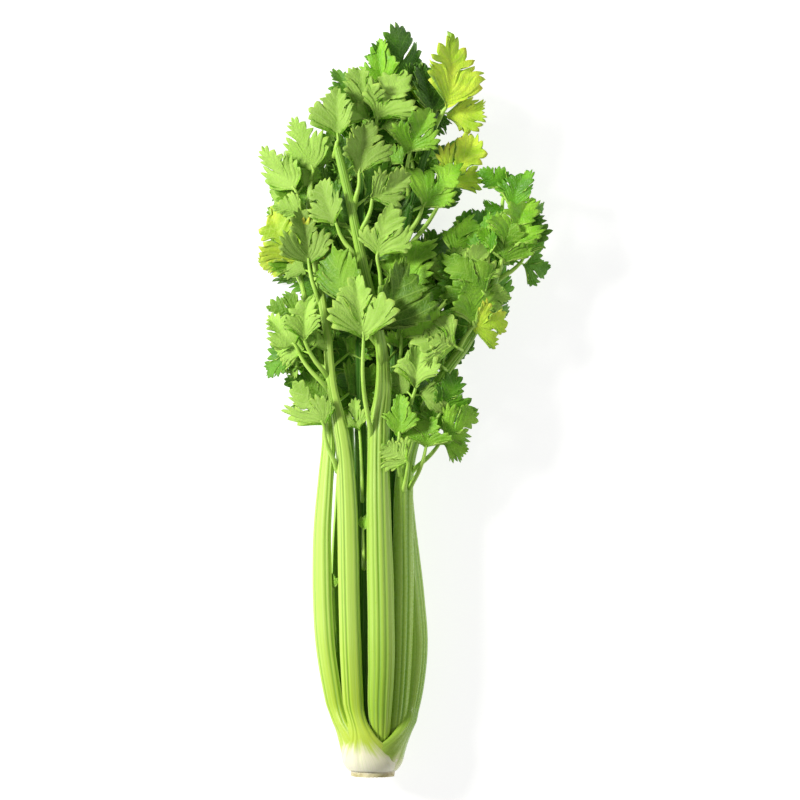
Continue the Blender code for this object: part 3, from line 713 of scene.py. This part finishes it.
def leaf_stem(points, thick, thin):
    """A tapered stem: a bevelled curve along its points, made a mesh and welded."""
    points = smooth_between(points, 4)
    curve = bpy.data.curves.new("leaf_stem", "CURVE")
    curve.dimensions = "3D"
    curve.bevel_depth = thick / 2
    curve.bevel_resolution = 2
    curve.use_fill_caps = True
    line = curve.splines.new("POLY")
    line.points.add(len(points) - 1)
    for k, (spot, point) in enumerate(zip(line.points, points)):
        spot.co = (*point, 1.0)
        spot.radius = 1.0 + (thin / thick - 1.0) * k / (len(points) - 1)
    stem = bpy.data.objects.new("leaf_stem", curve)
    bpy.context.scene.collection.objects.link(stem)
    bpy.ops.object.select_all(action="DESELECT")
    stem.select_set(True)
    bpy.context.view_layer.objects.active = stem
    bpy.ops.object.convert(target="MESH")
    stem = bpy.context.object
    bpy.ops.object.mode_set(mode="EDIT")
    bpy.ops.mesh.select_all(action="SELECT")
    bpy.ops.mesh.remove_doubles(threshold=0.000005)
    bpy.ops.object.mode_set(mode="OBJECT")
    stem.data.shade_smooth()
    stem.data.materials.append(LEAF_FINISH["stem"])
    tone_and_light = stem.data.attributes.new("tone_and_light", "FLOAT", "POINT")
    tone_and_light.data.foreach_set("value", [0.5] * len(stem.data.vertices))
    return stem


def join(name, objects):
    bpy.ops.object.select_all(action="DESELECT")
    for item in objects:
        item.select_set(True)
    bpy.context.view_layer.objects.active = objects[0]
    if len(objects) > 1:
        bpy.ops.object.join()
    objects[0].name = objects[0].data.name = name
    return objects[0]


def thicken(name, leaflets, upper, lower):
    """Flat leaflets joined, given their two faces' finishes and a leaf's thickness."""
    blades = join(name, leaflets)
    blades.data.materials.append(LEAF_FINISH[upper])
    blades.data.materials.append(LEAF_FINISH[lower])
    shell = blades.modifiers.new("thickness", "SOLIDIFY")
    shell.thickness = LEAF_THICKNESS
    shell.offset = -1.0
    shell.material_offset = 1
    bpy.ops.object.modifier_apply(modifier=shell.name)
    return blades


ROW_POINTS = 6               # a row of a CAD leaf: two edges and a midrib, above and below
BLADE_ROWS = 7
TIP_SIZE = 0.0018            # the points of a CAD leaf's tip lie this close together


def leaf_rows(node):
    """Left, middle and right of a CAD leaf, from the start of its stem to its last row, and its tip."""
    points = [vertex.co.copy() for vertex in frame["nodes"][node].data.vertices]
    centre = sum(points, Vector()) / len(points)
    one = max(points, key=lambda point: (point - centre).length)
    other = max(points, key=lambda point: (point - one).length)

    def crowd(end):
        near = [point for point in points if (point - end).length < TIP_SIZE]
        return len({tuple(round(c, 6) for c in point) for point in near})

    tip = one if crowd(one) <= crowd(other) else other
    levels = steps_from(node, lambda point: (point - tip).length < TIP_SIZE)
    rows = []
    for level in levels[1:]:
        centre = level.mean(0)
        if len(level) == ROW_POINTS:
            across = np.linalg.svd(level - centre)[2][0]
            across = across if not rows or across @ (rows[-1][2] - rows[-1][0]) > 0 else -across
            order = level[np.argsort((level - centre) @ across)]
            rows.append((order[:2].mean(0), order[2:4].mean(0), order[4:].mean(0)))
        else:
            rows.append((centre, centre, centre))
    return rows[::-1], levels[0].mean(0)


SPRAY_STEM = (0.0038, 0.0017)   # across, where a stem leaves its stalk and at its leaflet
SIDE_STEM = (0.0018, 0.0010)
STEM_ROOTED = 0.008          # a stem starts this far inside its stalk, and this much lower
STEM_SUNK = 0.005
SIDE_LEAFLET_FROM = 0.026    # an end leaflet longer than this may have others at its sides
TONE = (0.35, 0.80)          # how light a leaflet is; it gains to the right, away from the window
# Painted light: leaflets further right, away from the window, are made lighter in colour, up to a most at
# the right.
PAINTED_LIGHT_GAIN = 5.0              # for each metre to the right
MIDDLE_PAINTED_LIGHT = 0.17
MOST_PAINTED_LIGHT = 0.41
# Tones given one by one: the low ones darken leaflets that lie in shade, painted shade on top of their own
# olive or dark green.
LEAF_TONES_AND_SHADE = {
    "leaf_front_olive": 0.12, "leaf_top_tip": 0.42, "leaf_top_folded": 0.15, "leaf_top_shaded": 0.15}
ONE_LEAFLET = (              # sprays with these names, or names that start so, bear one leaflet
    "leaf_front", "leaf_low_right_up", "leaf_low_right_round", "leaf_left_lowest",
    "leaf_gap_end", "leaf_top_right", "leaf_under_right")
leaf_nodes = sorted(name for name in frame["nodes"] if name.startswith("leaf_"))
slots = {part["node"]: part["material_slot"] for part in frame["record"]["subparts"]}
faces_up = {**slots, "leaf_low_right_up": "leaf_green"}   # which face shows, by its slot's name
leaf_places = []
for number, node in enumerate(leaf_nodes):
    chance = random.Random(number * 7 + 3)
    rows, tip = leaf_rows(node)
    petiole, blade = [row[1] for row in rows[:-BLADE_ROWS]], rows[-BLADE_ROWS:]
    foot = blade[0][1]
    heading = unit(tip - foot)
    widest = max(blade, key=lambda row: np.linalg.norm(row[2] - row[0]))
    side = widest[2] - widest[0]
    up = unit(np.cross(unit(side), heading))
    up = up if up[2] > 0 else -up
    length = np.linalg.norm(tip - foot)
    width = max(np.linalg.norm(side) * FULLER, LEAST_WIDTH * length)
    # painted light: the tone rises towards the right
    painted_light = min(max(MIDDLE_PAINTED_LIGHT + PAINTED_LIGHT_GAIN * (foot[0] - middle.x), 0.0), MOST_PAINTED_LIGHT)
    tone_and_light = LEAF_TONES_AND_SHADE.get(node, chance.uniform(*TONE) + painted_light)
    leaflet, points = lay_leaflet(foot, heading, up, length, width, chance, tone_and_light, 0.4)
    leaflets, stems = [leaflet], []
    leaf_places.append(points)
    leaving = petiole[0] - STEM_ROOTED * unit(foot - petiole[0]) - (0.0, 0.0, STEM_SUNK)
    route = [leaving] + petiole + [foot]
    stems.append(leaf_stem(route + [foot + heading * length * 0.12 - up * 0.0003], *SPRAY_STEM))
    if length > SIDE_LEAFLET_FROM and not node.startswith(ONE_LEAFLET):
        aside = np.cross(heading, up)
        for hand in (-1.0, 1.0):
            angle = math.radians(chance.uniform(45, 85)) * hand
            aim = unit(heading * math.cos(angle) + aside * math.sin(angle) - up * chance.uniform(0.0, 0.5))
            leaves = petiole[-1] + (foot - petiole[-1]) * chance.uniform(-0.6, 0.7)
            root = leaves + aim * chance.uniform(0.003, 0.007) - up * chance.uniform(0.002, 0.006)
            size = length * chance.uniform(0.50, 0.75)
            tilt = unit(up - aim * (up @ aim) + 0.35 * chance.uniform(-1, 1) * np.cross(aim, up))
            tilt = unit(tilt - aim * (tilt @ aim))
            leaflet, points = lay_leaflet(root, aim, tilt, size, size * 0.92, chance,
                                          max(tone_and_light + chance.uniform(-0.35, 0.15), 0.0))
            leaflets.append(leaflet)
            leaf_places.append(points)
            route = [leaves, (leaves + root) / 2 - up * 0.0004, root + aim * size * 0.08]
            stems.append(leaf_stem(route, *SIDE_STEM))
    spray = join(node + "_toothed", [thicken(node, leaflets, *SLOT_FINISH[faces_up[node]])] + stems)
    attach(spray, "root")
    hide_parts(node)

# ---------------------------------------------------------------------------------------------
# The inner leaves. Under the showing sprays each stalk's top bears more leaves in pairs. They lie in the
# shade, and their colour is made darker as painted shade. They stay under the outer ones, which hide where
# they leave the stalk.

LEAFY_FROM = 0.236           # above the cut face
PAIR_EVERY = 0.012
INNER_DROP = (0.004, 0.013)  # how far below its stalk's middle an inner leaf lies
INNER_LENGTH = (0.022, 0.036)
# lower than the outer leaflets' tones: painted shade
INNER_TONE_AND_SHADE = (0.08, 0.62)
INNER_STEM = (0.0024, 0.0012)
OVER_TABLE = 0.0015          # no inner leaf comes nearer to the table
COVER = 0.0045               # how far an inner leaf may reach past the outer ones

leafy_tops = [rings[rings[..., 1] > cut_face + LEAFY_FROM] for rings in stalk_points.values()]
cover_points = np.vstack(leaf_places + leafy_tops)[::3]
cover = kdtree.KDTree(len(cover_points))
for k, point in enumerate(cover_points):
    cover.insert((point[0], point[1], 0.0), k)
cover.balance()


def is_covered(point):
    near = [k for _, k, distance in cover.find_n((point[0], point[1], 0.0), 6) if distance < COVER]
    return any(cover_points[k][2] > point[2] for k in near)


for number, node in enumerate(stalk_nodes):
    chance = random.Random(number * 11 + 5)
    middles = stalk_points[node].mean(1)
    middles = middles[middles[:, 1] > cut_face + LEAFY_FROM]
    if len(middles) < 3:
        continue
    leaflets, stems = [], []
    travelled = np.concatenate([[0.0], np.cumsum(np.linalg.norm(np.diff(middles, axis=0), axis=1))])
    for along in np.arange(0.004, travelled[-1], PAIR_EVERY):
        start = np.array([np.interp(along, travelled, middles[:, k]) for k in range(3)])
        ahead = np.array([np.interp(along + 0.004, travelled, middles[:, k]) for k in range(3)])
        forward = unit(ahead - start) if along + 0.004 < travelled[-1] else unit(middles[-1] - middles[-2])
        for hand in (-1.0, 1.0):
            angle = hand * math.radians(chance.uniform(18, 75))
            aside = unit(np.cross(forward, (0.0, 0.0, 1.0)))
            heading = forward * math.cos(angle) + aside * math.sin(angle)
            heading = unit(heading + (0.0, 0.0, chance.uniform(-0.30, 0.15)))
            length = chance.uniform(*INNER_LENGTH)
            foot = start + heading * chance.uniform(0.006, 0.016) - (0.0, 0.0, chance.uniform(*INNER_DROP))
            up = np.array((0.5 * chance.uniform(-1, 1), 0.4 * chance.uniform(-1, 1), 1.0))
            up = unit(up - heading * (up @ heading))
            tone_and_light = chance.uniform(*INNER_TONE_AND_SHADE)
            width = length * chance.uniform(0.75, 1.05)
            ends = (foot + heading * length, foot + heading * length * 0.6 + aside * width * 0.4,
                    foot + heading * length * 0.6 - aside * width * 0.4)
            if not all(is_covered(end) for end in ends):
                continue
            leaflet, points = lay_leaflet(foot, heading, up, length, width, chance, tone_and_light, 0.45)
            low = lowest.z + OVER_TABLE - points[:, 2].min()
            if low > 0:
                foot = foot + (0.0, 0.0, low)
                points = points + (0.0, 0.0, low)
                leaflet.data.vertices.foreach_set("co", points.ravel())
            leaflets.append(leaflet)
            bend = (start + foot) / 2 - (0.0, 0.0, 0.0015)
            stems.append(leaf_stem([start, bend, foot, foot + heading * length * 0.1], *INNER_STEM))
    if leaflets:
        # painted shade: the inner leaves take the darker finishes, mid under the window-side stalks and
        # dark under the rest
        tone_and_light = "mid" if STALK_TONES_AND_LIGHT.get(node) == "pale" else "dark"
        name = node + "_inner_leaves"
        spray = join(name, [thicken(name, leaflets, tone_and_light, "pale")] + stems)
        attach(spray, "root")

# ---------------------------------------------------------------------------------------------
# The leaves over the right branch. They grow from the side of the bent stalk, curl back over it
# and hide most of its upper half.

BRANCH = "stalk_right_inner"
BRANCH_LEAVES = (            # height above the cut face, turn from straight along, length and slot
    (0.276, 48.0, 0.031, "leaf_pale_underside"), (0.290, 62.0, 0.036, "leaf_pale_underside"),
    (0.303, 8.0, 0.034, "leaf_green"), (0.325, 38.0, 0.034, "leaf_green"),
    (0.345, -12.0, 0.032, "leaf_green"))
BRANCH_LEAF_RISE = 0.007     # above the middle of the stalk
NEW_STEM = (0.0030, 0.0014)

chance = random.Random(41)
middles = stalk_points[BRANCH].mean(1)
for number, (height, turn, length, slot) in enumerate(BRANCH_LEAVES):
    start = np.array([np.interp(cut_face + height, middles[:, 1], middles[:, k]) for k in range(3)])
    turn = math.radians(turn)
    heading = unit(np.array((-math.sin(turn), math.cos(turn), 0.10)))
    foot = start + heading * 0.004 + (0.0, 0.0, BRANCH_LEAF_RISE)
    up = unit(np.array((0.12, -0.05, 1.0)) - heading * (heading @ (0.12, -0.05, 1.0)))
    tone_and_light = chance.uniform(0.35, 0.7)
    leaflet, points = lay_leaflet(foot, heading, up, length, length * 0.95, chance, tone_and_light, 0.5)
    stem = leaf_stem([start, (start + foot) / 2, foot, foot + heading * length * 0.1], *NEW_STEM)
    name = f"branch_leaf_{number + 1}"
    spray = join(name, [thicken(name, [leaflet], *SLOT_FINISH[slot]), stem])
    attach(spray, "root")

# ---------------------------------------------------------------------------------------------
# The young shoots. Between the outer stalks a few thin new stems rise from the heart, each with one
# small leaflet that has just opened.

SHOOTS = (   # the stalks it rises between, its heights, its leaflet's length and turn, its slot
    ("stalk_front_left", "stalk_front_centre", 0.196, 0.236, 0.022, 18.0, "leaf_pale_underside"),
    ("stalk_front_left", "stalk_front_centre", 0.150, 0.168, 0.014, -14.0, "leaf_green"),
    ("stalk_left_outer", "stalk_front_left", 0.098, 0.128, 0.012, 8.0, "leaf_green"))
SHOOT_DEPTH = 0.004          # below the middle of the stalks beside it

for number, (left, right, low, high, length, turn, slot) in enumerate(SHOOTS):
    route = []
    for height in np.linspace(low, high, 4):
        beside = [stalk_points[node].mean(1) for node in (left, right)]
        route.append(sum(np.array([np.interp(cut_face + height, line[:, 1], line[:, k]) for k in range(3)])
                         for line in beside) / 2 - (0.0, 0.0, SHOOT_DEPTH))
    route.insert(0, route[0] - (0.0, 0.013, 0.015))
    turn = math.radians(turn)
    heading = unit(np.array((-math.sin(turn), math.cos(turn), 0.06)))
    up = unit(np.array((-0.2, 0.0, 1.0)) - heading * (heading @ (-0.2, 0.0, 1.0)))
    leaflet, points = lay_leaflet(route[-1], heading, up, length, length * 0.7, chance, 0.6, 0.3)
    stem = leaf_stem(route + [route[-1] + heading * length * 0.12], *NEW_STEM)
    name = f"young_shoot_{number + 1}"
    shoot = join(name, [thicken(name, [leaflet], *SLOT_FINISH[slot]), stem])
    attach(shoot, "root")

for master, *_ in masters:   # the flat leaflets that all the others were copied from
    bpy.data.objects.remove(master)

# ---------------------------------------------------------------------------------------------
# The end: the scene is brought up to date.

bpy.context.view_layer.update()
